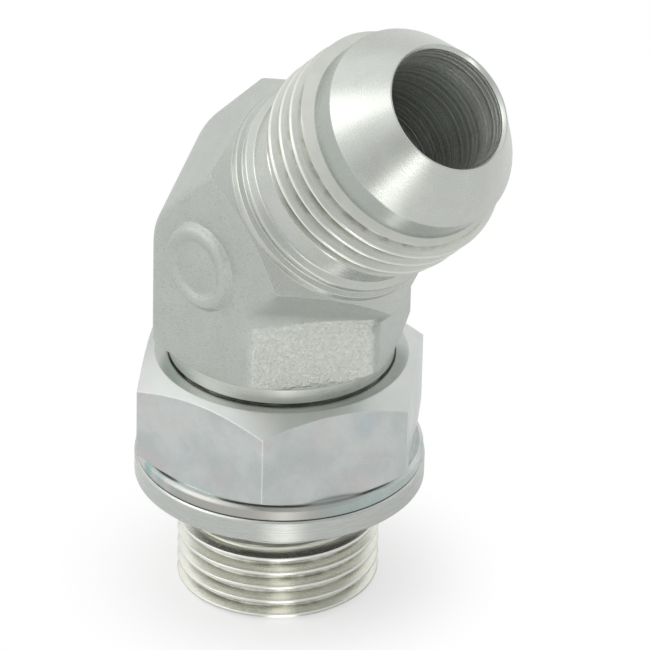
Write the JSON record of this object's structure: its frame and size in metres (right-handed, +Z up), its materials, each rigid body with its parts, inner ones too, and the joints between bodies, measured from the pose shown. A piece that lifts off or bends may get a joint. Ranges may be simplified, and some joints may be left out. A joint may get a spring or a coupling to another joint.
{
  "type": "male stud elbow fitting",
  "caption": "Adjustable angled hydraulic stud fitting: threaded flare end on a forged hexagonal elbow, above a parallel stud with locknut, retaining ring and seal.",
  "frame": {"origin": "centre of the stud's end face, where the stud's bore opens", "axes": "+Z up the stud, away from the port; the branch leans from +Z towards +X at 45 degrees; Y across the elbow"},
  "size_m": [0.0341, 0.0238, 0.0538],
  "materials": {
    "plated_forging": "zinc-plated steel, satin",
    "plated_nut": "zinc-plated steel, satin with faint iridescence",
    "plated_ring": "zinc-plated steel, fine turning marks",
    "seal_rubber": "matt black nitrile rubber"
  },
  "bodies": {
    "elbow": {"elbow_body": "plated_forging"},
    "seal_ring": {"retaining_ring": "plated_ring", "o_ring": "seal_rubber"},
    "locknut": {"locknut": "plated_nut"}
  },
  "joints": [
    {"name": "ring_slide", "type": "slide", "parent": "elbow", "child": "seal_ring", "axis": [0, 0, 1], "range_m": [-0.00201, 0]},
    {"name": "nut_turn", "type": "hinge", "parent": "seal_ring", "child": "locknut", "pos_m": [0, 0, 0.0164], "axis": [0, 0, 1], "range_deg": [-540, 0]}
  ],
  "couplings": [
    {"joint": "ring_slide", "follows": "nut_turn", "m_per_rad": 0.00021276}
  ]
}
